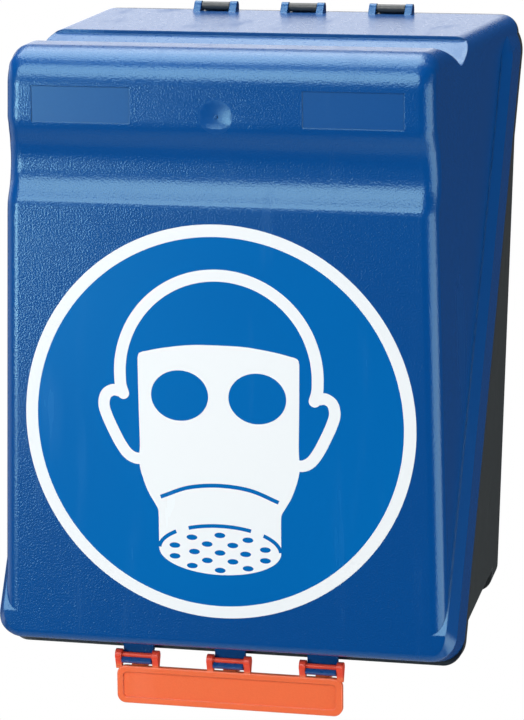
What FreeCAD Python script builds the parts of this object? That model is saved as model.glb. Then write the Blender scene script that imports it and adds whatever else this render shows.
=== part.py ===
import FreeCAD, Part
import math
import os
from FreeCAD import Vector

# Wall box for a respirator: two drafted, moulded half shells that meet on a
# slanted parting plane, hinged at the top and closed by a latch at the bottom.
# All sizes in mm. +X right, +Y towards the wall, +Z up. The origin is on the
# back wall's outer face, in the middle of the four screw holes.

# Case
CASE_WIDE = 238.0           # over the raised rim, the widest place
CASE_SHOULDER = 3.0         # side walls of both shells inside the rim
DEPTH = 200.0               # wall to front panel
CASE_TOP = 155.0            # top faces of both shells
WALL = 2.5                  # moulded wall of both shells
BACK_WALL = 3.0             # wall plate that takes the screws
PART_TOP_BACK = 6.5         # parting plane to the wall, at the case top
PART_LOW_FRONT = 22.6       # front panel to the parting plane, at the rear shell's bottom
PART_GAP = 0.3              # seat between the two rims

# Front cover
COVER_HALF = CASE_WIDE / 2 - CASE_SHOULDER
COVER_DRAFT_ANGLE = 2.58    # side draft towards the front, in degrees
COVER_BOTTOM = -146.3       # bottom face where it meets the front panel
COVER_BOTTOM_ANGLE = 15.54  # the bottom's drop towards the wall, in degrees
COVER_TOP_CORNER = 9.0
COVER_BOTTOM_CORNER = 12.0
COVER_EDGE = 8.0            # rounding round the front

# Grip channel across the front panel
CHANNEL_DEPTH = 8.5
CHANNEL_LOW = 77.0          # lower lip
CHANNEL_FLOOR_LOW = 91.0
CHANNEL_FLOOR_HIGH = 105.0
CHANNEL_HIGH = 117.5        # upper lip
CHANNEL_LIP_R = 15.0
CHANNEL_R = 9.0

# Valley across the top of the cover
VALLEY_FRONT = 33.0         # front ridge, behind the front panel
VALLEY_BOTTOM = 61.0
VALLEY_BACK = 86.0          # crisp rear edge
VALLEY_DEPTH = 12.5
VALLEY_STEP = 2.0           # height of the steep lip under the rear edge
VALLEY_STEP_RUN = 0.6
VALLEY_R = 9.0
RIDGE_R = 1.5

# Raised rim of the cover along the parting plane
RIM_HALF = CASE_WIDE / 2
RIM_FLANK = 25.0            # depth of the straight flank
RIM_RAMP = 9.0              # ramp from the flank down to the side wall
RIM_RISE = 4.0              # height of that ramp on the sides
RIM_TOP_CORNER = 20.0
RIM_BOTTOM_CORNER = 13.0
RIM_EDGE = 5.5              # rounding where the rim runs into the front panel

# Rear shell
REAR_HALF = CASE_WIDE / 2 - CASE_SHOULDER
REAR_DRAFT_ANGLE = 3.43
REAR_BOTTOM = -153.0
REAR_TOP_CORNER = 9.5
REAR_LOW_CORNER = 13.0      # bottom corners of the deep part
FOOT_BOTTOM = -156.0        # the foot stands a little lower
FOOT_CORNER = 9.0           # bottom corners beside the wall
FOOT_DEPTH = 30.0           # how far the squarer foot reaches from the wall
REAR_EDGE = 4.5             # rounding along the wall
FLANGE_HALF = RIM_HALF - 0.1
FLANGE_BOTTOM = -154.4
FLANGE_LOW_CORNER = 10.0
FLANGE_DEPTH = 6.0
FLANGE_WIDE = 4.9           # how far it reaches in from the side
FLANGE_EDGE = 4.0

# Tongue on the rear shell's rim, inside the cover's rim
TONGUE_THICK = 1.6
TONGUE_TALL = 3.0
TONGUE_CLEAR = 0.4
TONGUE_DROP_CLEAR = 1.3     # the cover rises as it leaves the bottom run
TONGUE_TOP = 135.0

# Hinges
HINGE_BACK = 12.3           # axis from the wall
HINGE_UP = 2.7              # axis above the case top
HINGE_PITCH = 48.26
HINGE_LONG = 15.3           # clip on the rear shell
HINGE_SIDE_GAP = 0.25
HINGE_EAR = 3.9
HINGE_ROD_R = 1.2
HINGE_BORE_R = 1.25
HINGE_CLIP_R = 2.3
HINGE_EAR_R = 2.7
HINGE_MOUTH = 1.9           # snap-in slot of the clip
ARM_RISE = 1.2              # clip's arm above the hinge line, at the parting gap
ARM_BITE = 1.0              # how far the arm's end stays short of the wall, and below the top
HINGE_FOOT = 5.6            # length of an ear's foot on the cover

# Latch
LATCH_IN = 15.4             # rod axis behind the front panel
LATCH_DOWN = -156.9
LATCH_ROD_R = 1.45
LATCH_BORE_R = 1.5
TAB_LONG = 15.6             # snap tabs on the cover
TAB_R = 4.3
TAB_SIDE_GAP = 0.3
TAB_LIP = 150.0             # angle the tab's lip wraps round the rod
LATCH_EAR = 3.2
LATCH_EAR_R = 3.0
EAR_PROUD = 0.5             # outermost ears stand out past the bar's ends
BAR_TALL = 19.7
BAR_THICK = 3.0
BAR_DROP = 5.6              # top of the bar below the rod axis
BAR_FRONT = 1.6             # front face ahead of the rod axis
BAR_CORNER = 4.5
BAR_BORDER = 3.2
BAR_RECESS = 0.8
BAR_EDGE = 0.7

# Catch: hooks on the latch bar, ribs under the rear shell's flange
HOOK_WIDE = 7.0
RIB_WIDE = 10.0
RIB_THICK = 1.6
RIB_TALL = 3.1
RIB_BACK = 14.8             # rear face of a rib behind the rod axis
HOOK_GAP = 0.4              # hook to rib, measured along the depth
HOOK_TIP = 1.6
HOOK_DROP = 2.8             # hook top below the rod axis while the latch hangs
ARM_DROP = 4.9              # arm top below the rod axis
ARM_THICK = 2.4

# Wall screws
SCREW_SPACE_X = 160.0
SCREW_SPACE_Z = 200.0
SCREW_R = 2.75
SCREW_PAD_R = 9.0
SCREW_PAD_TALL = 2.0

# Sign and label fields
SIGN_R = 100.0
SIGN_THICK = 0.3
SIGN_Z = -30.0
FIELD_IN = 43.5
FIELD_OUT = 94.0
FIELD_LOW = 118.5
FIELD_HIGH = 136.5
FIELD_DEPTH = 0.4
DIMPLE_Z = 122.9
DIMPLE_R = 8.5
DIMPLE_DEPTH = 1.2
NUB_R = 0.8

PART_RUN = DEPTH - PART_LOW_FRONT - PART_TOP_BACK
PART_LEAN = PART_RUN / (CASE_TOP - REAR_BOTTOM)     # comes back this much per mm up
PART_AT_ZERO = PART_TOP_BACK + PART_LEAN * CASE_TOP
COVER_DRAFT = math.tan(math.radians(COVER_DRAFT_ANGLE))
COVER_SLOPE = math.tan(math.radians(COVER_BOTTOM_ANGLE))
REAR_DRAFT = math.tan(math.radians(REAR_DRAFT_ANGLE))
FAR = 2 * DEPTH             # reaches past the whole case
FRONT = -DEPTH
HINGE_Y = -HINGE_BACK
HINGE_Z = CASE_TOP + HINGE_UP
LATCH_Y = FRONT + LATCH_IN
LATCH_Z = LATCH_DOWN
HINGE_XS = [-HINGE_PITCH, 0.0, HINGE_PITCH]


def part_y(z):
    return -PART_AT_ZERO + PART_LEAN * z


def cover_low(y):
    return COVER_BOTTOM - COVER_SLOPE * (y - FRONT)


def rounded_wire(corners):
    """Closed wire in the YZ plane from (y, z, radius) corners."""
    count = len(corners)
    joins = []
    for i in range(count):
        y, z, radius = corners[i]
        here = Vector(0, y, z)
        before = Vector(0, corners[i - 1][0], corners[i - 1][1])
        after = Vector(0, corners[(i + 1) % count][0], corners[(i + 1) % count][1])
        if radius <= 0:
            joins.append((here, None, here))
            continue
        u = (before - here).normalize()
        w = (after - here).normalize()
        half = math.acos(max(-1.0, min(1.0, u.dot(w)))) / 2
        middle = (u + w).normalize()
        centre = here + middle * (radius / math.sin(half))
        run = radius / math.tan(half)
        joins.append((here + u * run, centre - middle * radius, here + w * run))
    edges = []
    for i in range(count):
        start, bulge, end = joins[i]
        if bulge is not None:
            edges.append(Part.Arc(start, bulge, end).toShape())
        following = joins[(i + 1) % count][0]
        if (following - end).Length > 1e-6:
            edges.append(Part.makeLine(end, following))
    return Part.Wire(edges)


def across(corners, x_low, x_high):
    """Prism along X of a rounded YZ outline."""
    face = Part.Face(rounded_wire(corners))
    solid = face.extrude(Vector(x_high - x_low, 0, 0))
    solid.translate(Vector(x_low, 0, 0))
    return solid


def block(x_low, x_high, y_low, y_high, z_low, z_high):
    return Part.makeBox(x_high - x_low, y_high - y_low, z_high - z_low,
                        Vector(x_low, y_low, z_low))


def rod(x_low, x_high, y, z, radius):
    return Part.makeCylinder(radius, x_high - x_low, Vector(x_low, y, z), Vector(1, 0, 0))


def inset_corners(corners, inset):
    """Move every side of an outline inwards; roundings follow the wall."""
    count = len(corners)
    area = 0.0
    for i in range(count):
        a = corners[i]
        b = corners[(i + 1) % count]
        area += a[0] * b[1] - b[0] * a[1]
    turn = 1.0 if area > 0 else -1.0
    lines = []
    for i in range(count):
        a = corners[i]
        b = corners[(i + 1) % count]
        dy = b[0] - a[0]
        dz = b[1] - a[1]
        size = math.hypot(dy, dz)
        ny = -dz / size * turn
        nz = dy / size * turn
        lines.append((a[0] + ny * inset, a[1] + nz * inset, dy / size, dz / size))
    moved = []
    for i in range(count):
        py, pz, py_dir, pz_dir = lines[i - 1]
        qy, qz, qy_dir, qz_dir = lines[i]
        cross = py_dir * qz_dir - pz_dir * qy_dir
        t = ((qy - py) * qz_dir - (qz - pz) * qy_dir) / cross
        radius = corners[i][2]
        if radius > 0:
            radius += -inset if cross * turn > 0 else inset
        moved.append((py + py_dir * t, pz + pz_dir * t, max(radius, 0.0)))
    return moved


def edges_where(shape, test):
    """Edges of a shape whose end points lie in a box that passes the test."""
    found = []
    for edge in shape.Edges:
        box = FreeCAD.BoundBox()
        for vertex in edge.Vertexes:
            box.add(vertex.Point)
        if test(box):
            found.append(edge)
    return found


def flat(points):
    return Part.Face(Part.makePolygon(points + [points[0]]))


def drafted(half, draft, low_at, z_high, r_low, r_high, y_front, y_back):
    """Flat-faced block with its four depth-running edges rounded.

    Its sides lean in by `draft` per mm away from the parting plane, and
    `low_at` gives the bottom's height at a depth, so the bottom can slope.
    """
    ends = []
    for y in (y_front, y_back):
        z_low = low_at(y)
        low = half + draft * (y - part_y(z_low))
        high = half + draft * (y - part_y(z_high))
        ends.append([Vector(-low, y, z_low), Vector(low, y, z_low),
                     Vector(high, y, z_high), Vector(-high, y, z_high)])
    front, back = ends
    faces = [flat(front), flat(back)]
    for i in range(4):
        j = (i + 1) % 4
        faces.append(flat([front[i], front[j], back[j], back[i]]))
    solid = Part.makeSolid(Part.makeShell(faces))
    if solid.Volume < 0:
        solid.reverse()
    middle = solid.BoundBox.Center.z
    for side, radius in ((-1, r_low), (1, r_high)):
        if radius > 0:
            loop = edges_where(solid, lambda box: box.YLength > 0.5
                               and (box.Center.z - middle) * side > 0)
            solid = solid.makeFillet(radius, loop)
    return solid


def slab(front, back):
    """Everything between two planes parallel to the parting plane."""
    return across([(part_y(-FAR) + front, -FAR, 0), (part_y(-FAR) + back, -FAR, 0),
                   (part_y(FAR) + back, FAR, 0), (part_y(FAR) + front, FAR, 0)], -FAR, FAR)


# ---------------------------------------------------------------- front cover

def cover_outline():
    """Side view of the cover: panel, grip channel, top band and valley."""
    floor = FRONT + CHANNEL_DEPTH
    return [(FAR, -FAR, 0), (FRONT, -FAR, 0),
            (FRONT, CHANNEL_LOW, CHANNEL_LIP_R),
            (floor, CHANNEL_FLOOR_LOW, CHANNEL_R), (floor, CHANNEL_FLOOR_HIGH, CHANNEL_R),
            (FRONT, CHANNEL_HIGH, CHANNEL_R), (FRONT, CASE_TOP, 0),
            (FRONT + VALLEY_FRONT, CASE_TOP, RIDGE_R),
            (FRONT + VALLEY_BOTTOM, CASE_TOP - VALLEY_DEPTH, VALLEY_R),
            (FRONT + VALLEY_BACK - VALLEY_STEP_RUN, CASE_TOP - VALLEY_STEP, 0),
            (FRONT + VALLEY_BACK, CASE_TOP, 0), (FAR, CASE_TOP, 0)]


def cover_form(inset):
    """The cover's full form, or the space inside it when inset by the wall."""
    profile = across(inset_corners(cover_outline(), inset), -FAR, FAR)
    plan = drafted(COVER_HALF - inset, COVER_DRAFT, lambda y: cover_low(y) + inset,
                   CASE_TOP - inset, COVER_BOTTOM_CORNER - inset, COVER_TOP_CORNER - inset,
                   FRONT - WALL, WALL)
    form = profile.common(plan).Solids[0].removeSplitter()
    deepest = FRONT + CHANNEL_DEPTH + inset + 0.5
    low = cover_low(FRONT + inset) + inset
    high = CASE_TOP - inset

    def is_edge_loop(box):
        if box.YMax > deepest:
            return False
        inner_line = box.XLength > COVER_HALF and low + 1 < box.Center.z < high - 1
        return not inner_line

    return form.makeFillet(COVER_EDGE - inset, edges_where(form, is_edge_loop))


def rim_prism(half, low_at, z_high, r_low, r_high, y_front=FRONT - WALL):
    """Prism through the case with upright sides and a rounded front view."""
    return drafted(half, 0, low_at, z_high, r_low, r_high, y_front, 2 * WALL)


def plane_wire(prism, offset):
    """Outline of a prism where a plane parallel to the parting plane cuts it."""
    size = math.hypot(1.0, PART_LEAN)
    normal = Vector(0, 1.0 / size, -PART_LEAN / size)
    return prism.slice(normal, (-PART_AT_ZERO + offset) / size)[0]


def rim_form(inset):
    """Raised rim: straight flank at the parting plane, then a ramp to the sides."""
    flank = RIM_FLANK - inset * RIM_RISE / RIM_RAMP
    front = FRONT + inset
    wide = rim_prism(RIM_HALF - inset, lambda y: cover_low(y) + inset, CASE_TOP - inset,
                     RIM_BOTTOM_CORNER - inset, RIM_TOP_CORNER - inset)
    narrow = rim_prism(RIM_HALF - RIM_RISE - inset,
                       lambda y: cover_low(y) + RIM_RISE + inset, CASE_TOP - inset,
                       RIM_BOTTOM_CORNER - inset, RIM_TOP_CORNER - inset)
    ramp = Part.makeLoft([plane_wire(narrow, -flank - RIM_RAMP), plane_wire(wide, -flank)],
                         True, True)
    limit = rim_prism(RIM_HALF - inset, lambda y: cover_low(y) + inset, CASE_TOP,
                      RIM_BOTTOM_CORNER - inset, 0, front)
    loop = edges_where(limit, lambda box: box.YMax < front + 0.1 and box.ZMin < CASE_TOP - 1)
    limit = limit.makeFillet(RIM_EDGE - inset, loop)
    return wide.common(slab(-flank, WALL)).fuse(ramp).common(limit)


def cover_body():
    outside = cover_form(0).fuse(rim_form(0))
    inside = cover_form(WALL).fuse(rim_form(WALL))
    shell = outside.cut(inside)
    return shell.common(slab(-FAR, 0))


def label_fields():
    cuts = []
    for side in (-1, 1):
        x_low = min(side * FIELD_IN, side * FIELD_OUT)
        x_high = max(side * FIELD_IN, side * FIELD_OUT)
        cuts.append(block(x_low, x_high, FRONT - 1, FRONT + FIELD_DEPTH, FIELD_LOW, FIELD_HIGH))
    ball_r = (DIMPLE_R ** 2 + DIMPLE_DEPTH ** 2) / (2 * DIMPLE_DEPTH)
    centre = Vector(0, FRONT + DIMPLE_DEPTH - ball_r, DIMPLE_Z)
    ball = Part.makeSphere(ball_r, centre)
    nub = Part.makeCylinder(NUB_R, WALL, Vector(0, FRONT + DIMPLE_DEPTH / 2, DIMPLE_Z),
                            Vector(0, 1, 0))
    cuts.append(ball.cut(nub))
    return cuts


def hinge_ears():
    """Two ears and a rod per hinge, moulded on the cover's top."""
    inner = HINGE_LONG / 2 + HINGE_SIDE_GAP
    outer = inner + HINGE_EAR
    front_foot = HINGE_Y - HINGE_FOOT
    ear_outline = [(front_foot, CASE_TOP - WALL / 2, 0),
                   (HINGE_Y + HINGE_EAR_R, CASE_TOP - WALL / 2, 0),
                   (HINGE_Y + HINGE_EAR_R, HINGE_Z, 0),
                   (HINGE_Y - HINGE_EAR_R / 2, HINGE_Z + HINGE_EAR_R * 0.866, 0),
                   (front_foot, CASE_TOP, 0)]
    pieces = []
    for x in HINGE_XS:
        for side in (-1, 1):
            low = min(side * inner, side * outer) + x
            high = max(side * inner, side * outer) + x
            pieces.append(across(ear_outline, low, high))
            pieces.append(rod(low, high, HINGE_Y, HINGE_Z, HINGE_EAR_R))
        pieces.append(rod(x - outer + 0.5, x + outer - 0.5, HINGE_Y, HINGE_Z, HINGE_ROD_R))
    return pieces


def latch_tabs():
    """Hooked tabs under the cover that carry the latch bar's rods."""
    pieces = []
    half = TAB_LONG / 2
    for x in HINGE_XS:
        ring = rod(x - half, x + half, LATCH_Y, LATCH_Z, TAB_R)
        stem = block(x - half, x + half, LATCH_Y + LATCH_BORE_R, LATCH_Y + TAB_R,
                     LATCH_Z, cover_low(LATCH_Y) + WALL / 2)
        lip = math.radians(TAB_LIP)
        mouth = across([(LATCH_Y, LATCH_Z, 0),
                        (LATCH_Y + 3 * TAB_R, LATCH_Z, 0),
                        (LATCH_Y + 3 * TAB_R, LATCH_Z + 3 * TAB_R, 0),
                        (LATCH_Y - 3 * TAB_R, LATCH_Z + 3 * TAB_R, 0),
                        (LATCH_Y + 3 * TAB_R * math.cos(lip),
                         LATCH_Z - 3 * TAB_R * math.sin(lip), 0)], x - half - 1, x + half + 1)
        hook = ring.cut(mouth).fuse(stem)
        bore = rod(x - half - 1, x + half + 1, LATCH_Y, LATCH_Z, LATCH_BORE_R)
        pieces.append(hook.cut(bore))
    return pieces


def make_cover():
    cover = cover_body()
    for cut in label_fields():
        cover = cover.cut(cut)
    cover = cover.fuse(hinge_ears() + latch_tabs())
    return cover.removeSplitter()


# ----------------------------------------------------------------- rear shell

def rear_form(inset, back):
    """Rear shell's form: deep part, squarer foot beside the wall, rounded back."""
    deep = drafted(REAR_HALF - inset, -REAR_DRAFT, lambda y: REAR_BOTTOM + inset,
                   CASE_TOP - inset, REAR_LOW_CORNER - inset, REAR_TOP_CORNER - inset,
                   FRONT - WALL, -FOOT_DEPTH + inset)
    foot = drafted(REAR_HALF - inset, -REAR_DRAFT, lambda y: FOOT_BOTTOM + inset,
                   CASE_TOP - inset, FOOT_CORNER - inset, REAR_TOP_CORNER - inset,
                   -FOOT_DEPTH + inset, back)
    if inset == 0:
        loop = edges_where(foot, lambda box: box.YMin > back - 0.1)
        foot = foot.makeFillet(REAR_EDGE, loop)
    return deep.fuse(foot)


def rear_flange():
    ring = rim_prism(FLANGE_HALF, lambda y: FLANGE_BOTTOM, CASE_TOP,
                     FLANGE_LOW_CORNER, RIM_TOP_CORNER)
    inner = rim_prism(FLANGE_HALF - FLANGE_WIDE, lambda y: REAR_BOTTOM + 2 * WALL, CASE_TOP - WALL,
                      FLANGE_LOW_CORNER - WALL, RIM_TOP_CORNER - WALL)
    limit = block(-FLANGE_HALF, FLANGE_HALF, -FAR, 0, -FAR, CASE_TOP)
    limit = limit.makeFillet(FLANGE_EDGE,
                             edges_where(limit, lambda box: box.YMin > -0.1 and box.ZMax > 0))
    return ring.cut(inner).common(slab(PART_GAP, PART_GAP + FLANGE_DEPTH)).common(limit)


def tongue():
    """U-shaped tongue on the rim's sides and bottom; it centres the cover."""
    half = RIM_HALF - WALL - TONGUE_CLEAR
    rise = WALL + TONGUE_DROP_CLEAR
    corner = RIM_BOTTOM_CORNER - WALL
    outer = rim_prism(half, lambda y: cover_low(y) + rise, CASE_TOP, corner, 0)
    inner = rim_prism(half - TONGUE_THICK, lambda y: cover_low(y) + rise + TONGUE_THICK,
                      CASE_TOP + 1, corner - TONGUE_THICK, 0)
    loop = outer.cut(inner).common(slab(-TONGUE_TALL, PART_GAP + WALL))
    return loop.common(block(-FAR, FAR, -FAR, FAR, -FAR, TONGUE_TOP))


def hinge_clip(x):
    """Snap clip that wraps over the cover's rod, on an arm from the shell's top."""
    half = HINGE_LONG / 2
    top = HINGE_Z + HINGE_CLIP_R
    under = CASE_TOP + PART_GAP
    arm = across([(HINGE_Y, top, 0), (part_y(CASE_TOP) + PART_GAP, HINGE_Z + ARM_RISE, 0),
                  (-ARM_BITE, CASE_TOP - ARM_BITE, 0), (-ARM_BITE, CASE_TOP - WALL, 0),
                  (part_y(CASE_TOP) + PART_GAP, CASE_TOP - WALL, 0),
                  (part_y(CASE_TOP) + PART_GAP, under, 0), (HINGE_Y, under, 0)],
                 x - half, x + half)
    barrel = rod(x - half, x + half, HINGE_Y, HINGE_Z, HINGE_CLIP_R)
    bore = rod(x - half - 1, x + half + 1, HINGE_Y, HINGE_Z, HINGE_BORE_R)
    mouth = block(x - half - 1, x + half + 1, HINGE_Y - HINGE_MOUTH / 2,
                  HINGE_Y + HINGE_MOUTH / 2, HINGE_Z - 2 * HINGE_CLIP_R, HINGE_Z)
    return arm.fuse(barrel).cut(bore).cut(mouth)


def catch_ribs():
    ribs = []
    back = LATCH_Y + RIB_BACK
    for x in HINGE_XS:
        ribs.append(block(x - RIB_WIDE / 2, x + RIB_WIDE / 2, back - RIB_THICK, back,
                          FLANGE_BOTTOM - RIB_TALL, FLANGE_BOTTOM + WALL / 2))
    return ribs


def screw_places():
    return [(x, z) for x in (-SCREW_SPACE_X / 2, SCREW_SPACE_X / 2)
            for z in (-SCREW_SPACE_Z / 2, SCREW_SPACE_Z / 2)]


def make_rear_shell():
    shell = rear_form(0, 0.0).cut(rear_form(WALL, -BACK_WALL))
    shell = shell.common(slab(PART_GAP, FAR))
    pads = [Part.makeCylinder(SCREW_PAD_R, SCREW_PAD_TALL + BACK_WALL / 2,
                              Vector(x, -BACK_WALL / 2, z), Vector(0, -1, 0))
            for x, z in screw_places()]
    clips = [hinge_clip(x) for x in HINGE_XS]
    shell = shell.fuse([rear_flange(), tongue()] + clips + catch_ribs() + pads)
    for x, z in screw_places():
        shell = shell.cut(Part.makeCylinder(SCREW_R, 4 * BACK_WALL, Vector(x, BACK_WALL, z),
                                            Vector(0, -1, 0)))
    return shell.removeSplitter()


# ------------------------------------------------------------------ latch bar

def make_latch():
    top = LATCH_Z - BAR_DROP
    bottom = top - BAR_TALL
    front = LATCH_Y - BAR_FRONT
    back = front + BAR_THICK
    ear_in = TAB_LONG / 2 + TAB_SIDE_GAP
    ear_out = ear_in + LATCH_EAR
    half = HINGE_PITCH + ear_out - EAR_PROUD
    plate = drafted(half, 0, lambda y: bottom, top, BAR_CORNER, BAR_CORNER, front, back)
    rim = edges_where(plate, lambda box: box.YMax < front + 0.1)
    plate = plate.makeFillet(BAR_EDGE, rim)
    field = drafted(half - BAR_BORDER, 0, lambda y: bottom + BAR_BORDER, top - BAR_BORDER,
                    BAR_CORNER / 2, BAR_CORNER / 2, front - 1, front + BAR_RECESS)
    plate = plate.cut(field)
    pieces = []
    root = top - BAR_BORDER / 2
    ear_outline = [(front + BAR_EDGE, root, 0), (back - BAR_EDGE, root, 0),
                   (LATCH_Y + LATCH_EAR_R, LATCH_Z, 0), (LATCH_Y - LATCH_EAR_R, LATCH_Z, 0)]
    for x in HINGE_XS:
        for side in (-1, 1):
            low = min(side * ear_in, side * ear_out) + x
            high = max(side * ear_in, side * ear_out) + x
            pieces.append(across(ear_outline, low, high))
            pieces.append(rod(low, high, LATCH_Y, LATCH_Z, LATCH_EAR_R))
        pieces.append(rod(x - ear_in - 1, x + ear_in + 1, LATCH_Y, LATCH_Z, LATCH_ROD_R))
    tip_front = LATCH_Y + RIB_BACK + HOOK_GAP
    tip_back = tip_front + HOOK_TIP
    arm_top = LATCH_Z - ARM_DROP
    hook_outline = [(back - BAR_THICK / 2, arm_top - 2 * ARM_THICK, 0),
                    (back - BAR_THICK / 2, top - BAR_EDGE, 0), (back, arm_top, 0),
                    (tip_front, arm_top, 0), (tip_front, LATCH_Z - HOOK_DROP, 0),
                    (tip_back - HOOK_TIP / 2, LATCH_Z - HOOK_DROP, 0),
                    (tip_back, LATCH_Z - HOOK_DROP - HOOK_TIP / 2, 0),
                    (tip_back, arm_top - ARM_THICK, 0), (back + ARM_THICK, arm_top - ARM_THICK, 0),
                    (back, arm_top - 2 * ARM_THICK, 0)]
    for x in HINGE_XS:
        pieces.append(across(hook_outline, x - HOOK_WIDE / 2, x + HOOK_WIDE / 2))
    return plate.fuse(pieces).removeSplitter()


def make_sign():
    return Part.makeCylinder(SIGN_R, SIGN_THICK, Vector(0, FRONT, SIGN_Z), Vector(0, -1, 0))


os.makedirs("parts", exist_ok=True)
make_cover().exportStep("parts/front_cover.step")
make_rear_shell().exportStep("parts/rear_shell.step")
make_latch().exportStep("parts/latch_bar.step")
make_sign().exportStep("parts/sign_label.step")
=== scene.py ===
import bmesh
import bpy
import math
import numpy as np
from mathutils import Matrix, Vector


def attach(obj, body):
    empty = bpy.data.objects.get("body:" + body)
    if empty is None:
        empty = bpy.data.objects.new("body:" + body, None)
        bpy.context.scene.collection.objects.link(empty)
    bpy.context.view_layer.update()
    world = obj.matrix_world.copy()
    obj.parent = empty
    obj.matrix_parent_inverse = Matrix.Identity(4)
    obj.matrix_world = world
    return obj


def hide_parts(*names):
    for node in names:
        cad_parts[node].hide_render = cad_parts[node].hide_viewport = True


# A wall box for a respirator: two moulded half shells, hinged at the top, with a
# round "wear respiratory protection" sign on the front and an orange latch bar
# under it. Every size is in metres, in the CAD frame: +X right, +Y to the wall.
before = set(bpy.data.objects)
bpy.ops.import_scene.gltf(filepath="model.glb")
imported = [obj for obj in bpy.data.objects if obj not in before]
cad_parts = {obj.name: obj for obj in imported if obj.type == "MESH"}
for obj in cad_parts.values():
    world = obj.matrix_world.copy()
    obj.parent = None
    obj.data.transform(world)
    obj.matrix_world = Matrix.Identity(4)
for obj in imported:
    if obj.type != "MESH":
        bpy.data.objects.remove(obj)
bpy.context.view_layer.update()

# ---------------------------------------------------------------- rear half shell
# The half that is screwed to the wall: an open ABS tray, charcoal grey, moulded
# with a flanged rim, three snap clips for the hinge and pads round the screws.
# It comes straight from the tool, with the same fine grain all over.
CHARCOAL = (0.038, 0.046, 0.049)
DARK_CHARCOAL = (0.029, 0.035, 0.038)
DUSTY_CHARCOAL = (0.12, 0.12, 0.118)
CHARCOAL_GLOSS = (0.34, 0.46)       # roughness where polished and where worn
CHARCOAL_PEBBLES = 1100.0           # pebbles of the grain per metre
CHARCOAL_GRAIN = 0.00006            # height of the grain
SOFT_EDGE = 0.0007                  # how far the shading rounds a sharp edge
CREASE = math.radians(25)


def new_group(name, inputs, outputs):
    """An empty shader group with float inputs (name, default) and float outputs."""
    group = bpy.data.node_groups.new(name, "ShaderNodeTree")
    for label, value in inputs:
        socket = group.interface.new_socket(label, in_out="INPUT", socket_type="NodeSocketFloat")
        socket.default_value = value
    for label in outputs:
        group.interface.new_socket(label, in_out="OUTPUT", socket_type="NodeSocketFloat")
    return group


def node(tree, kind, **settings):
    """Add a node; keywords set its properties."""
    made = tree.nodes.new(kind)
    for key, value in settings.items():
        setattr(made, key, value)
    return made


def noise(tree, place, scale=5.0, detail=2.0, roughness=0.5):
    """Add a noise texture that reads a place."""
    made = node(tree, "ShaderNodeTexNoise")
    made.inputs["Scale"].default_value = scale
    made.inputs["Detail"].default_value = detail
    made.inputs["Roughness"].default_value = roughness
    tree.links.new(place, made.inputs["Vector"])
    return made


def math_node(tree, operation, a, b=None, clamp=False):
    """A Math node fed by sockets or plain numbers; returns its output."""
    made = node(tree, "ShaderNodeMath", operation=operation, use_clamp=clamp)
    for slot, value in enumerate((a, b)):
        if value is None:
            continue
        if isinstance(value, bpy.types.NodeSocket):
            tree.links.new(value, made.inputs[slot])
        else:
            made.inputs[slot].default_value = value
    return made.outputs[0]


def ramp(tree, value, low, high, to_low=0.0, to_high=1.0):
    """A smooth step of a value from one range to another; returns its output."""
    made = node(tree, "ShaderNodeMapRange", interpolation_type="SMOOTHSTEP")
    tree.links.new(value, made.inputs["Value"])
    made.inputs["From Min"].default_value = low
    made.inputs["From Max"].default_value = high
    made.inputs["To Min"].default_value = to_low
    made.inputs["To Max"].default_value = to_high
    return made.outputs["Result"]


# Etched grain: low rounded pebbles, about as wide as high, over a slower unevenness.
grain_group = new_group("etched_grain", [("Pebbles per Metre", 900.0)], ["Height", "Tone"])
group_in = node(grain_group, "NodeGroupInput")
group_out = node(grain_group, "NodeGroupOutput")
place = node(grain_group, "ShaderNodeTexCoord").outputs["Object"]
pebbles = noise(grain_group, place, detail=1.0, roughness=0.4)
swell = noise(grain_group, place)
swell_scale = math_node(grain_group, "MULTIPLY", group_in.outputs[0], 0.35)
grain_group.links.new(group_in.outputs[0], pebbles.inputs["Scale"])
grain_group.links.new(swell_scale, swell.inputs["Scale"])
rounded = ramp(grain_group, pebbles.outputs["Fac"], 0.25, 0.75)
uneven = math_node(grain_group, "MULTIPLY", swell.outputs["Fac"], 0.3)
grain_group.links.new(math_node(grain_group, "ADD", rounded, uneven), group_out.inputs["Height"])
grain_group.links.new(rounded, group_out.inputs["Tone"])

# Use: dust settles on what faces up, and hands and cloths leave faint streaks.
use_group = new_group("dust_and_rubbing", [("Dust", 1.0)], ["Dust", "Rub", "Drift"])
group_in = node(use_group, "NodeGroupInput")
group_out = node(use_group, "NodeGroupOutput")
coordinates = node(use_group, "ShaderNodeTexCoord")
place = coordinates.outputs["Object"]
facing = node(use_group, "ShaderNodeSeparateXYZ")
use_group.links.new(coordinates.outputs["Normal"], facing.inputs[0])
stretch = node(use_group, "ShaderNodeMapping")
stretch.inputs["Scale"].default_value = (3.0, 1.0, 0.35)
use_group.links.new(place, stretch.inputs["Vector"])
specks = noise(use_group, place, 420.0, 4.0)
streaks = noise(use_group, stretch.outputs[0], 25.0, 3.0)
drift = noise(use_group, place, 6.0)
upward = ramp(use_group, facing.outputs["Z"], 0.5, 0.98)
dust = math_node(use_group, "MULTIPLY", upward, ramp(use_group, specks.outputs["Fac"], 0.0, 1.0))
dust = math_node(use_group, "MULTIPLY", dust, group_in.outputs["Dust"])
use_group.links.new(dust, group_out.inputs["Dust"])
use_group.links.new(ramp(use_group, streaks.outputs["Fac"], 0.52, 0.8), group_out.inputs["Rub"])
use_group.links.new(drift.outputs["Fac"], group_out.inputs["Drift"])


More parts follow.
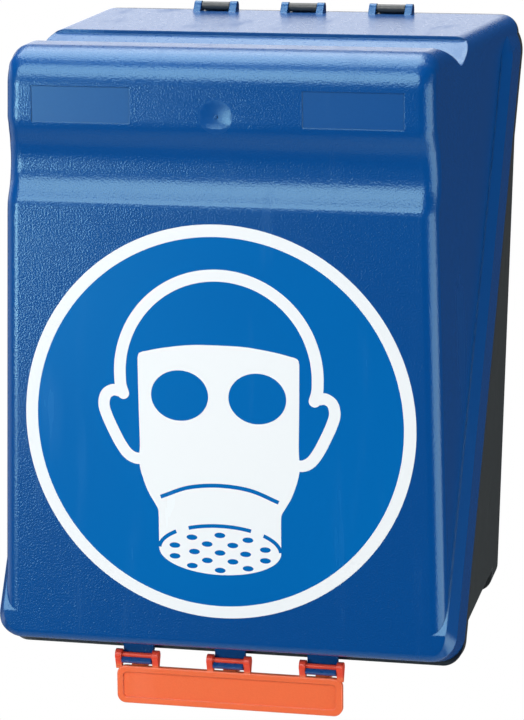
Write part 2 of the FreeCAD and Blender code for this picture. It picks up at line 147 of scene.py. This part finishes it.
def moulded_plastic(name, colour, dark, dusty, gloss, pebbles_per_metre, depth, dust=1.0):
    """A moulded plastic. Returns its material, tree, shader, bump and roughness.

    The colour drifts between `colour` and `dark` and goes to `dusty` under dust;
    `gloss` is (polished, worn) roughness and `depth` the grain's height.
    """
    material = bpy.data.materials.new(name)
    material.use_nodes = True
    tree = material.node_tree
    shader = tree.nodes["Principled BSDF"]
    grain = node(tree, "ShaderNodeGroup", node_tree=grain_group)
    grain.inputs[0].default_value = pebbles_per_metre
    use = node(tree, "ShaderNodeGroup", node_tree=use_group)
    use.inputs[0].default_value = dust
    tint = node(tree, "ShaderNodeMix", data_type="RGBA")
    tint.inputs[6].default_value = (*colour, 1)
    tint.inputs[7].default_value = (*dark, 1)
    tone = math_node(tree, "ADD", math_node(tree, "MULTIPLY", use.outputs["Drift"], 0.6),
                     math_node(tree, "MULTIPLY", grain.outputs["Tone"], 0.35), clamp=True)
    tree.links.new(tone, tint.inputs[0])
    dusted = node(tree, "ShaderNodeMix", data_type="RGBA")
    dusted.inputs[7].default_value = (*dusty, 1)
    tree.links.new(math_node(tree, "MULTIPLY", use.outputs["Dust"], 0.22), dusted.inputs[0])
    tree.links.new(tint.outputs[2], dusted.inputs[6])
    tree.links.new(dusted.outputs[2], shader.inputs["Base Color"])
    rough = ramp(tree, use.outputs["Rub"], 0.0, 1.0, gloss[0], gloss[1])
    rough = math_node(tree, "ADD", rough, math_node(tree, "MULTIPLY", use.outputs["Dust"], 0.10))
    tree.links.new(rough, shader.inputs["Roughness"])
    soft_edges = node(tree, "ShaderNodeBevel", samples=4)
    soft_edges.inputs["Radius"].default_value = SOFT_EDGE
    bump = node(tree, "ShaderNodeBump")
    bump.inputs["Distance"].default_value = depth
    bump.inputs["Strength"].default_value = 1.0
    tree.links.new(grain.outputs["Height"], bump.inputs["Height"])
    tree.links.new(soft_edges.outputs["Normal"], bump.inputs["Normal"])
    tree.links.new(bump.outputs["Normal"], shader.inputs["Normal"])
    shader.inputs["IOR"].default_value = 1.5
    shader.inputs["Specular IOR Level"].default_value = 0.5
    return material, tree, shader, bump, rough


def smooth_copy(cad_node, name, body, material, soften=None):
    """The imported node's surface as one joined mesh that shades smoothly.

    Corners that lie on the same spot are merged, creases above 25 degrees stay
    sharp, and large flats keep their own direction beside rounded edges. `soften`
    is given the joined mesh before it is shaded.
    """
    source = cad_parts[cad_node].data
    spots = np.empty(len(source.vertices) * 3)
    source.vertices.foreach_get("co", spots)
    corners = np.empty(len(source.loops), int)
    source.loops.foreach_get("vertex_index", corners)
    points, shared = np.unique(np.round(spots.reshape(-1, 3), 6), axis=0, return_inverse=True)
    faces = shared.ravel()[corners].reshape(-1, 3)
    a, b, c = faces.T
    faces = faces[(a != b) & (b != c) & (c != a)]
    mesh = bpy.data.meshes.new(name)
    mesh.from_pydata(points, [], faces)
    mesh.validate()
    if soften:
        soften(mesh)
    mesh.shade_smooth()
    mesh.set_sharp_from_angle(angle=CREASE)
    mesh.materials.append(material)
    piece = bpy.data.objects.new(name, mesh)
    bpy.context.scene.collection.objects.link(piece)
    even = piece.modifiers.new("even_normals", "WEIGHTED_NORMAL")
    even.keep_sharp = True
    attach(piece, body)
    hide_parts(cad_node)


rear_plastic = moulded_plastic("charcoal_moulded_plastic", CHARCOAL, DARK_CHARCOAL,
                               DUSTY_CHARCOAL, CHARCOAL_GLOSS, CHARCOAL_PEBBLES,
                               CHARCOAL_GRAIN)[0]
smooth_copy("rear_shell", "rear_half_shell", "rear", rear_plastic)

# ------------------------------------------------------------------- front cover
# The hinged half: blue ABS, grained on the front and top, polished on the sides
# that slide out of the mould. The two label fields and the thumb dish above the grip
# channel are smooth, and a thin ring is cut into the grain for each gate mark near the lower
# corners.
DEEP_BLUE = (0.0, 0.062, 0.255)
DARK_BLUE = (0.0, 0.052, 0.225)
DUSTY_BLUE = (0.12, 0.20, 0.34)
# Light cyan tint of the plastic's reflections: a painted light colour, not the plastic's own.
BLUE_PAINTED_GLINT_TINT = (0.50, 0.88, 1.0)
BLUE_GLOSS = (0.24, 0.32)
BLUE_PEBBLES, BLUE_GRAIN = 1100.0, 0.00005

COVER_FRONT, COVER_TOP = -0.200, 0.155
FIELD_IN, FIELD_OUT, FIELD_LOW, FIELD_HIGH = 0.0435, 0.094, 0.1185, 0.1365
DISH_HEIGHT, DISH_RADIUS = 0.1229, 0.0085
GATE_X, GATE_HEIGHT, GATE_RADIUS, GATE_LINE = 0.0885, -0.118, 0.0022, 0.0004
POLISHED_FROM = 0.1135
RECESS_REACH = 0.002                # the recesses lie within this of the front

EDGE_ROUND, BROW_ROUND = 0.008, 0.018
BROW_SLICES = 8
CHANNEL_FROM, CHANNEL_TO, CHANNEL_SLICE = 0.0730, 0.1226, 0.0015
FRONT_WALL_TO = -0.183              # faces of the front wall reach forward of this
FADE_FROM, FADE = -0.176, 0.012     # the channel's move dies away behind the wall
STEP_FOOT, STEP_ABOVE = -0.1146, 0.150
STEP_FACE = -0.11404                # the step's foot goes here, under its top edge


def object_spot(tree):
    """Add a node that splits the point on the piece into X, Y and Z."""
    coordinates = node(tree, "ShaderNodeTexCoord")
    split = node(tree, "ShaderNodeSeparateXYZ")
    tree.links.new(coordinates.outputs["Object"], split.inputs[0])
    return split


cover_plastic, tree, shader, bump, rough = moulded_plastic(
    "blue_moulded_plastic", DEEP_BLUE, DARK_BLUE, DUSTY_BLUE, BLUE_GLOSS, BLUE_PEBBLES,
    BLUE_GRAIN)
spot = object_spot(tree)
across = math_node(tree, "ABSOLUTE", spot.outputs["X"])
on_front = math_node(tree, "LESS_THAN", spot.outputs["Y"], COVER_FRONT + RECESS_REACH)


def all_of(tests):
    """One where every test is one; a test is (operation, value, limit)."""
    passed = [math_node(tree, *test) for test in tests]
    result = passed[0]
    for other in passed[1:]:
        result = math_node(tree, "MULTIPLY", result, other)
    return result


def distance_to(x, z):
    """Distance in the front plane from (x, z), with left and right folded together."""
    dx = math_node(tree, "SUBTRACT", across, x)
    dz = math_node(tree, "SUBTRACT", spot.outputs["Z"], z)
    return math_node(tree, "SQRT", math_node(tree, "ADD", math_node(tree, "POWER", dx, 2.0),
                                             math_node(tree, "POWER", dz, 2.0)))


field = all_of([("GREATER_THAN", across, FIELD_IN), ("LESS_THAN", across, FIELD_OUT),
                ("GREATER_THAN", spot.outputs["Z"], FIELD_LOW),
                ("LESS_THAN", spot.outputs["Z"], FIELD_HIGH)])
dish = math_node(tree, "LESS_THAN", distance_to(0.0, DISH_HEIGHT), DISH_RADIUS)
off_ring = math_node(tree, "SUBTRACT", distance_to(GATE_X, GATE_HEIGHT), GATE_RADIUS)
gate_ring = math_node(tree, "LESS_THAN", math_node(tree, "ABSOLUTE", off_ring), GATE_LINE)
smooth = math_node(tree, "MULTIPLY", math_node(tree, "MAXIMUM", field, dish), on_front)
side = ramp(tree, across, POLISHED_FROM - 0.002, POLISHED_FROM)
keep = math_node(tree, "SUBTRACT", 1.0, math_node(tree, "MAXIMUM", smooth, side), clamp=True)
tree.links.new(ramp(tree, keep, 0.0, 1.0, 0.12, 1.0), bump.inputs["Strength"])
height = bump.inputs["Height"].links[0].from_socket
marked = math_node(tree, "SUBTRACT", height, math_node(tree, "MULTIPLY", gate_ring, on_front))
tree.links.new(marked, bump.inputs["Height"])
# Painted light: the reflections on the blue plastic are tinted light cyan, standing in for
# cyan-tinted light.
shader.inputs["Specular Tint"].default_value = (*BLUE_PAINTED_GLINT_TINT, 1)
shader.inputs["Specular IOR Level"].default_value = 0.65
tree.links.new(math_node(tree, "ADD", rough, math_node(tree, "MULTIPLY", smooth, 0.10)),
               shader.inputs["Roughness"])

# The channel's real section is one soft hollow. Each line lists where the section
# bends: its height, the change of slope there and half the height of the bend.
CHANNEL_CUT = ((0.0770, 0.607, 0.0039), (0.0910, -0.607, 0.0023),
               (0.1050, -0.680, 0.0025), (0.1175, 0.680, 0.0025))
CHANNEL_SOFT = ((0.0785, 0.570, 0.0025), (0.0895, -0.570, 0.0065),
                (0.1035, -0.4823, 0.0065), (0.1165, 0.4823, 0.0045))


def section_depth(heights, bends):
    """Depth of a section: the sum of its bends, each a parabola into a straight."""
    depth = np.zeros_like(heights)
    for place, slope, half in bends:
        past = heights - place
        bend = (np.clip(past, -half, half) + half) ** 2 / (4 * half)
        depth += slope * (bend + np.clip(past - half, 0, None))
    return depth


def round_brow(spots):
    """Draw the top front edge in to a wider round. Along each ray from the new round's
    axis the wall's distance goes from the old section's, two straights joined by the
    tight round, to the new radius."""
    ahead = COVER_FRONT + BROW_ROUND - spots[:, 1]
    above = spots[:, 2] - COVER_TOP + BROW_ROUND
    turn = np.arctan2(above, ahead)
    inner = BROW_ROUND - EDGE_ROUND
    both = inner * (np.cos(turn) + np.sin(turn))
    arc = both + np.sqrt(np.clip(both ** 2 - 2 * inner ** 2 + EDGE_ROUND ** 2, 0, None))
    straight = BROW_ROUND / np.maximum(np.cos(turn), np.sin(turn))
    steep = np.minimum(np.cos(turn), np.sin(turn)) * straight > inner
    share = np.where((ahead > 0) & (above > 0), BROW_ROUND / np.where(steep, arc, straight), 1)
    spots[:, 1] = COVER_FRONT + BROW_ROUND - ahead * share
    spots[:, 2] = COVER_TOP - BROW_ROUND + above * share


def slice_wall(work, spot, way, ahead_of, over=-1.0):
    """Cut the faces that reach ahead of one depth and over one height along a plane."""
    faces = [face for face in work.faces
             if min(corner.co.y for corner in face.verts) < ahead_of
             and max(corner.co.z for corner in face.verts) > over]
    parts = dict.fromkeys(part for face in faces for part in (face, *face.edges, *face.verts))
    bmesh.ops.bisect_plane(work, geom=list(parts), dist=1e-6, plane_co=spot, plane_no=way)


def soften_cover(mesh):
    """Move the channel from the cut section to the soft one, round the brow above it,
    and set the small step at the back of the valley upright."""
    work = bmesh.new()
    work.from_mesh(mesh)
    brow_back = COVER_FRONT + BROW_ROUND
    brow_foot = COVER_TOP - BROW_ROUND
    for step in np.linspace(0, BROW_ROUND - EDGE_ROUND, BROW_SLICES):
        for spot, way in (((0, 0, brow_foot + step), (0, 0, 1)),
                          ((0, brow_back - step, 0), (0, 1, 0))):
            slice_wall(work, spot, way, brow_back + 0.001, brow_foot - 0.001)
    for height in np.arange(CHANNEL_FROM, CHANNEL_TO, CHANNEL_SLICE):
        slice_wall(work, (0, 0, height), (0, 0, 1), FRONT_WALL_TO)
    work.to_mesh(mesh)
    work.free()
    spots = np.empty(len(mesh.vertices) * 3)
    mesh.vertices.foreach_get("co", spots)
    spots = spots.reshape(-1, 3)
    shift = section_depth(spots[:, 2], CHANNEL_SOFT) - section_depth(spots[:, 2], CHANNEL_CUT)
    spots[:, 1] += shift * np.clip((FADE_FROM - spots[:, 1]) / FADE, 0, 1)
    foot = (np.abs(spots[:, 1] - STEP_FOOT) < 0.0001) & (spots[:, 2] > STEP_ABOVE)
    spots[foot, 1] = STEP_FACE
    round_brow(spots)
    mesh.vertices.foreach_set("co", spots.ravel())
    mesh.update()


smooth_copy("front_cover", "blue_front_cover", "cover", cover_plastic,
            soften_cover)

# -------------------------------------------------------------------- latch bar
# The orange lever under the cover: one acetal moulding with a framed face, three
# pairs of ears with their rods, and three hooks behind. It is dyed through; the
# thin ears are painted redder than the thick bar, a painted glow that stands in for
# light shining through them.
ORANGE = (0.86, 0.160, 0.055)
DARK_ORANGE = (0.80, 0.135, 0.045)
DUSTY_ORANGE = (0.80, 0.42, 0.28)
EAR_PAINTED_GLOW = (1.0, 0.45, 0.55)
ORANGE_GLOSS = (0.30, 0.40)
ORANGE_PEBBLES, ORANGE_GRAIN, ORANGE_DUST = 1400.0, 0.00003, 0.5
EARS_FROM = -0.1625

latch_plastic, tree, shader = moulded_plastic(
    "orange_latch_plastic", ORANGE, DARK_ORANGE, DUSTY_ORANGE, ORANGE_GLOSS, ORANGE_PEBBLES,
    ORANGE_GRAIN, ORANGE_DUST)[:3]
spot = object_spot(tree)
# Painted glow: the ears' colour is made redder to stand in for light passing through the thin
# plastic.
painted_ear_glow = node(tree, "ShaderNodeMix", data_type="RGBA", blend_type="MULTIPLY")
painted_ear_glow.inputs[7].default_value = (*EAR_PAINTED_GLOW, 1)
tree.links.new(ramp(tree, spot.outputs["Z"], EARS_FROM, EARS_FROM + 0.002), painted_ear_glow.inputs[0])
plain = shader.inputs["Base Color"].links[0].from_socket
tree.links.new(plain, painted_ear_glow.inputs[6])
tree.links.new(painted_ear_glow.outputs[2], shader.inputs["Base Color"])
shader.inputs["Subsurface Weight"].default_value = 0.08
shader.inputs["Subsurface Scale"].default_value = 0.002
smooth_copy("latch_bar", "orange_latch_bar", "latch", latch_plastic)

# ------------------------------------------------------------------ round sign
# A printed vinyl film, 200 mm across, stuck on the front panel. It is the common
# mandatory sign for breathing protection: a white ring and, on blue, a head in a
# full mask.
VINYL_WHITE, FADED_WHITE = (0.81, 0.83, 0.85), (0.78, 0.81, 0.84)
SIGN_BLUE, FADED_BLUE = (0.0, 0.122, 0.40), (0.0, 0.108, 0.37)
FILM_PAINTED_GLINT_TINT = (0.4, 0.85, 1.0)
SIGN_RADIUS, SIGN_HEIGHT, RING_WIDTH = 0.100, -0.030, 0.0062
RIM_STEPS = 256

# The print lies on the film in coats a few hundredths of a millimetre apart, all
# inside the film's own thickness. It is drawn in mm from the sign's centre.
FILM_BACK, FILM_FACE, COAT = -0.20000, -0.20016, 0.00004
WHITE, BLUE = 0, 1
CROWN_RADIUS, CROWN_HEIGHT, CROWN_WIDTH, EAR_WIDTH = 50.6, 24, 6.0, 5.8
EYE_X, EYE_HEIGHT, EYE_HALF_WIDE, EYE_HALF_TALL = 19.9, 13.4, 14.7, 12.8
FILTER_HEIGHT, FILTER_HALF_WIDE, FILTER_HALF_TALL = -65.0, 31.5, 12.6
HOLES_HEIGHT, HOLES_HALF_TALL, HOLE_HALF_WIDE, HOLE_HALF_TALL = -66.2, 11.6, 2.8, 1.4

figure_points, figure_faces, figure_inks = [], [], []


def add_faces(flat_points, faces, coat, ink):
    """Add faces drawn in mm from the sign's centre to the sign, on a coat."""
    start = sum(len(p) for p in figure_points)
    flat_points = np.asarray(flat_points, float)
    depth = np.full(len(flat_points), FILM_FACE - coat * COAT)
    figure_points.append(np.column_stack((flat_points[:, 0] / 1000, depth,
                                          flat_points[:, 1] / 1000 + SIGN_HEIGHT)))
    figure_faces.extend([[start + i for i in face] for face in faces])
    figure_inks.extend([ink] * len(faces))


def smooth_line(points, steps=14):
    """Points of a curve that passes smoothly through all of the given ones: on each
    run a cubic that takes its direction from the points on either side."""
    p = np.asarray(points, float)
    p = np.vstack((2 * p[0] - p[1], p, 2 * p[-1] - p[-2]))
    t = np.linspace(0, 1, steps, endpoint=False)[:, None]
    runs = [0.5 * ((2 * p[i]) + (p[i + 1] - p[i - 1]) * t
                   + (2 * p[i - 1] - 5 * p[i] + 4 * p[i + 1] - p[i + 2]) * t ** 2
                   + (3 * p[i] - p[i - 1] - 3 * p[i + 1] + p[i + 2]) * t ** 3)
            for i in range(1, len(p) - 2)]
    return np.vstack(runs + [p[-2:-1]])


def oval(centre, half_wide, half_tall, coat, ink, count=96):
    """A filled ellipse."""
    turn = np.linspace(0, 2 * math.pi, count, endpoint=False)
    add_faces(np.column_stack((centre[0] + half_wide * np.cos(turn),
                               centre[1] + half_tall * np.sin(turn))),
              [list(range(count))], coat, ink)


def stroke(line, width, coat, ink, round_ends=True):
    """A band of even width along a line: half the width to each side of it, square to
    its direction, and a disc at each end where the ends are round."""
    run = np.gradient(line, axis=0)
    run /= np.linalg.norm(run, axis=1)[:, None]
    side = np.column_stack((-run[:, 1], run[:, 0])) * width / 2
    count = len(line)
    add_faces(np.vstack((line + side, line - side)),
              [[i, i + 1, count + i + 1, count + i] for i in range(count - 1)], coat, ink)
    if round_ends:
        for end in (line[0], line[-1]):
            oval(end, width / 2, width / 2, coat + 0.05, ink, 32)


def both_sides(points):
    """A list of points and its mirror image."""
    return [np.asarray(points, float), np.asarray(points, float) * (-1, 1)]


blue_radius = 1000 * (SIGN_RADIUS - RING_WIDTH)
oval((0, 0), blue_radius, blue_radius, 1, BLUE, RIM_STEPS)

# Head: a round arc of even width whose ends turn in, and an ear on each side.
turn = np.radians(np.linspace(0, 180, 91))
crown = np.column_stack((CROWN_RADIUS * np.cos(turn),
                         CROWN_HEIGHT + CROWN_RADIUS * np.sin(turn)))
left_end = smooth_line([(-CROWN_RADIUS, CROWN_HEIGHT), (-50.3, 18), (-49.0, 13.4)], 8)
stroke(np.vstack((left_end[::-1] * (-1, 1), crown[1:-1], left_end)), CROWN_WIDTH, 2, WHITE)
for ear in both_sides([(-50.5, 14.4), (-54.6, 14.8), (-58.1, 12.2), (-59.1, 7.0), (-57.4, 1.2),
                       (-54.4, -5.4), (-51.1, -11.8), (-47.4, -17.0), (-43.4, -19.4),
                       (-39.0, -19.6)]):
    stroke(smooth_line(ear), EAR_WIDTH, 2.2, WHITE)

# Mask: an arched brow with rounded corners, straight cheeks that draw in below
# the ears, and a short neck that ends in the filter's round face.
half = np.vstack((smooth_line([(0, 39.6), (-14, 39.2), (-28, 37.3), (-37.6, 35.2)]),
                  smooth_line([(-38.6, 35.0), (-40.6, 34.0), (-41.3, 31.8)]),
                  smooth_line([(-41.3, 28), (-41.1, 8), (-40.8, -12), (-41.3, -20),
                               (-40.2, -27.0), (-37.2, -35.6), (-33.6, -42.0),
                               (-31.8, -45.4), (-31.5, -50.0)]),
                  [(-FILTER_HALF_WIDE, FILTER_HEIGHT), (0, FILTER_HEIGHT)]))
outline = np.vstack((half, half[-2:0:-1] * (-1, 1)))
add_faces(outline, [list(range(len(outline)))], 2.4, WHITE)
oval((0, FILTER_HEIGHT), FILTER_HALF_WIDE, FILTER_HALF_TALL, 2.6, WHITE)
for eye in both_sides([(EYE_X, EYE_HEIGHT)]):
    oval(eye[0], EYE_HALF_WIDE, EYE_HALF_TALL, 3.4, BLUE)
stroke(smooth_line([(-30.4, -38.8), (-16, -33.4), (0, -31.7), (16, -33.4), (30.4, -38.8)]),
       2.0, 3.4, BLUE, False)

# Filter rim: an upper half ellipse in three dashes, and rings of small holes. Each
# ring lists its number of holes, its share of the filter's size and its first angle.
rim = np.radians(np.linspace(0, 180, 181))
rim_line = np.column_stack(((FILTER_HALF_WIDE - 0.2) * np.cos(rim),
                            FILTER_HEIGHT + FILTER_HALF_TALL * np.sin(rim)))
for low, high in ((2, 44), (59, 121), (136, 178)):
    stroke(rim_line[low:high + 1], 1.9, 3.4, BLUE, False)
for count, reach, first in ((1, 0.0, 0.0), (6, 0.42, 0.0), (10, 0.78, 18.0)):
    for turn in np.radians(first + np.arange(count) * 360 / count):
        oval((FILTER_HALF_WIDE * reach * math.cos(turn),
              HOLES_HEIGHT + HOLES_HALF_TALL * reach * math.sin(turn)),
             HOLE_HALF_WIDE, HOLE_HALF_TALL, 3.4, BLUE, 28)

# The film itself: a disc with a cut edge.
turn = np.linspace(0, 2 * math.pi, RIM_STEPS, endpoint=False)
ring = np.column_stack((SIGN_RADIUS * np.cos(turn), SIGN_RADIUS * np.sin(turn))) * 1000
start = sum(len(p) for p in figure_points)
add_faces(ring, [list(range(RIM_STEPS))], 0, WHITE)
figure_points.append(figure_points[-1] + (0, FILM_BACK - FILM_FACE, 0))
here = start + np.arange(RIM_STEPS)
following = np.roll(here, -1)
figure_faces.extend(np.column_stack((here, following, following + RIM_STEPS,
                                     here + RIM_STEPS)).tolist())
figure_inks.extend([WHITE] * RIM_STEPS)

sign_mesh = bpy.data.meshes.new("respirator_sign")
sign_mesh.from_pydata(np.vstack(figure_points), [], figure_faces)


def printed_vinyl(name, colour, faded):
    """Glossy printed film: faint fading, fine scuffs, a slight orange-peel and a painted light
    cyan tint on its reflections.
    """
    material = bpy.data.materials.new(name)
    material.use_nodes = True
    tree = material.node_tree
    shader = tree.nodes["Principled BSDF"]
    use = node(tree, "ShaderNodeGroup", node_tree=use_group)
    tint = node(tree, "ShaderNodeMix", data_type="RGBA")
    tint.inputs[6].default_value = (*colour, 1)
    tint.inputs[7].default_value = (*faded, 1)
    tree.links.new(ramp(tree, use.outputs["Drift"], 0.3, 0.8), tint.inputs[0])
    tree.links.new(tint.outputs[2], shader.inputs["Base Color"])
    tree.links.new(ramp(tree, use.outputs["Rub"], 0.0, 1.0, 0.20, 0.34),
                   shader.inputs["Roughness"])
    peel = noise(tree, node(tree, "ShaderNodeTexCoord").outputs["Object"], 140.0)
    bump = node(tree, "ShaderNodeBump")
    bump.inputs["Distance"].default_value = 0.00004
    bump.inputs["Strength"].default_value = 0.5
    tree.links.new(peel.outputs["Fac"], bump.inputs["Height"])
    tree.links.new(bump.outputs["Normal"], shader.inputs["Normal"])
    # Painted light: the film's reflections are tinted light cyan, standing in for the light's
    # colour.
    shader.inputs["Specular Tint"].default_value = (*FILM_PAINTED_GLINT_TINT, 1)
    return material


sign_mesh.materials.append(printed_vinyl("white_vinyl", VINYL_WHITE, FADED_WHITE))
sign_mesh.materials.append(printed_vinyl("blue_sign_print", SIGN_BLUE, FADED_BLUE))
sign_mesh.polygons.foreach_set("material_index", figure_inks)
sign_mesh.update()
normals = np.empty(len(sign_mesh.polygons) * 3)
sign_mesh.polygons.foreach_get("normal", normals)
for index in np.flatnonzero(normals.reshape(-1, 3)[:, 1] > 0.5):
    sign_mesh.polygons[index].flip()
sign_mesh.update()
sign = bpy.data.objects.new("respirator_sign", sign_mesh)
bpy.context.scene.collection.objects.link(sign)
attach(sign, "cover")
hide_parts("sign_label")

# ------------------------------------------------------------------ surroundings
# The box hangs well above a pale studio floor, against white.
FLOOR_HEIGHT, FLOOR_RADIUS, FLOOR_STEPS = -1.9, 2.4, 128
FLOOR_PAINT = (0.78, 0.80, 0.82)
turn = np.linspace(0, 2 * math.pi, FLOOR_STEPS, endpoint=False)
floor_mesh = bpy.data.meshes.new("studio_floor")
floor_mesh.from_pydata(np.column_stack((FLOOR_RADIUS * np.cos(turn),
                                        FLOOR_RADIUS * np.sin(turn),
                                        np.full(FLOOR_STEPS, FLOOR_HEIGHT))),
                       [], [list(range(FLOOR_STEPS))])
floor_paint = bpy.data.materials.new("pale_floor")
floor_paint.use_nodes = True
shader = floor_paint.node_tree.nodes["Principled BSDF"]
shader.inputs["Base Color"].default_value = (*FLOOR_PAINT, 1)
shader.inputs["Roughness"].default_value = 0.8
floor_mesh.materials.append(floor_paint)
floor = bpy.data.objects.new("studio_floor", floor_mesh)
bpy.context.scene.collection.objects.link(floor)

# World: white for the camera; for light and reflections a dim room with a bright
# wall that stands behind the box, to the left, and is no higher than a person.
WALL_LIGHT, ROOM_LIGHT = 0.96, 0.04
world = bpy.data.worlds.new("studio")
bpy.context.scene.world = world
world.use_nodes = True
tree = world.node_tree
direction = node(tree, "ShaderNodeSeparateXYZ")
place = node(tree, "ShaderNodeTexCoord")
tree.links.new(place.outputs["Generated"], direction.inputs[0])
behind = ramp(tree, direction.outputs["Y"], 0.0, 0.6)
to_left = ramp(tree, direction.outputs["X"], -0.02, -0.14)
above = ramp(tree, direction.outputs["Z"], -0.06, 0.02)
below = ramp(tree, direction.outputs["Z"], 0.30, 0.20)
wall = math_node(tree, "MULTIPLY", math_node(tree, "MULTIPLY", behind, to_left),
                 math_node(tree, "MULTIPLY", above, below))
room = math_node(tree, "ADD", math_node(tree, "MULTIPLY", wall, WALL_LIGHT), ROOM_LIGHT)
rays = node(tree, "ShaderNodeLightPath")
strength = math_node(tree, "MAXIMUM", rays.outputs["Is Camera Ray"], room)
tree.links.new(strength, tree.nodes["Background"].inputs["Strength"])
tree.nodes["Background"].inputs["Color"].default_value = (1, 1, 1, 1)


def soft_box(name, place, aim, size, power, tint=(1, 1, 1)):
    """A square studio lamp at a place, turned towards a point."""
    lamp = bpy.data.lights.new(name, "AREA")
    lamp.shape = "SQUARE"
    lamp.size = size
    lamp.energy = power
    lamp.color = tint
    holder = bpy.data.objects.new(name, lamp)
    holder.location = place
    away = Vector(place) - Vector(aim)
    holder.rotation_euler = away.to_track_quat("Z", "Y").to_euler()
    bpy.context.scene.collection.objects.link(holder)


soft_box("overhead_soft_box", (-0.35, 0.25, 1.6), (0, -0.1, 0), 1.5, 40)
soft_box("back_soft_box", (-0.6, 2.3, 0.45), (0, -0.1, 0.1), 1.2, 4)
soft_box("key_soft_box", (-0.52, -1.85, 1.40), (0, -0.1, 0), 1.4, 38.5)
soft_box("low_key_soft_box", (-0.90, -1.41, -0.05), (0, -0.2, 0), 0.5, 11, (0.93, 1.0, 1.0))
soft_box("right_soft_box", (2.1, -0.6, -0.4), (0, -0.1, 0), 2.2, 46)
soft_box("left_soft_box", (-2.0, 0.2, -0.2), (0, -0.1, 0), 1.8, 7)

# The camera stands to the right, above the box, and looks a little down at it.
CAMERA_PLACE = (0.42707, -1.81223, 0.34496)
CAMERA_RIGHT = Vector((0.97030, 0.24176, -0.00838))
CAMERA_UP = Vector((-0.04073, 0.19744, 0.97947))
camera_data = bpy.data.cameras.new("camera")
camera_data.lens = 172.26
camera_data.clip_end = 50
camera = bpy.data.objects.new("camera", camera_data)
camera.matrix_world = Matrix.Translation(CAMERA_PLACE) @ Matrix(
    (CAMERA_RIGHT, CAMERA_UP, CAMERA_RIGHT.cross(CAMERA_UP))).transposed().to_4x4()
bpy.context.scene.collection.objects.link(camera)
bpy.context.scene.camera = camera
bpy.context.scene.view_settings.view_transform = "Standard"
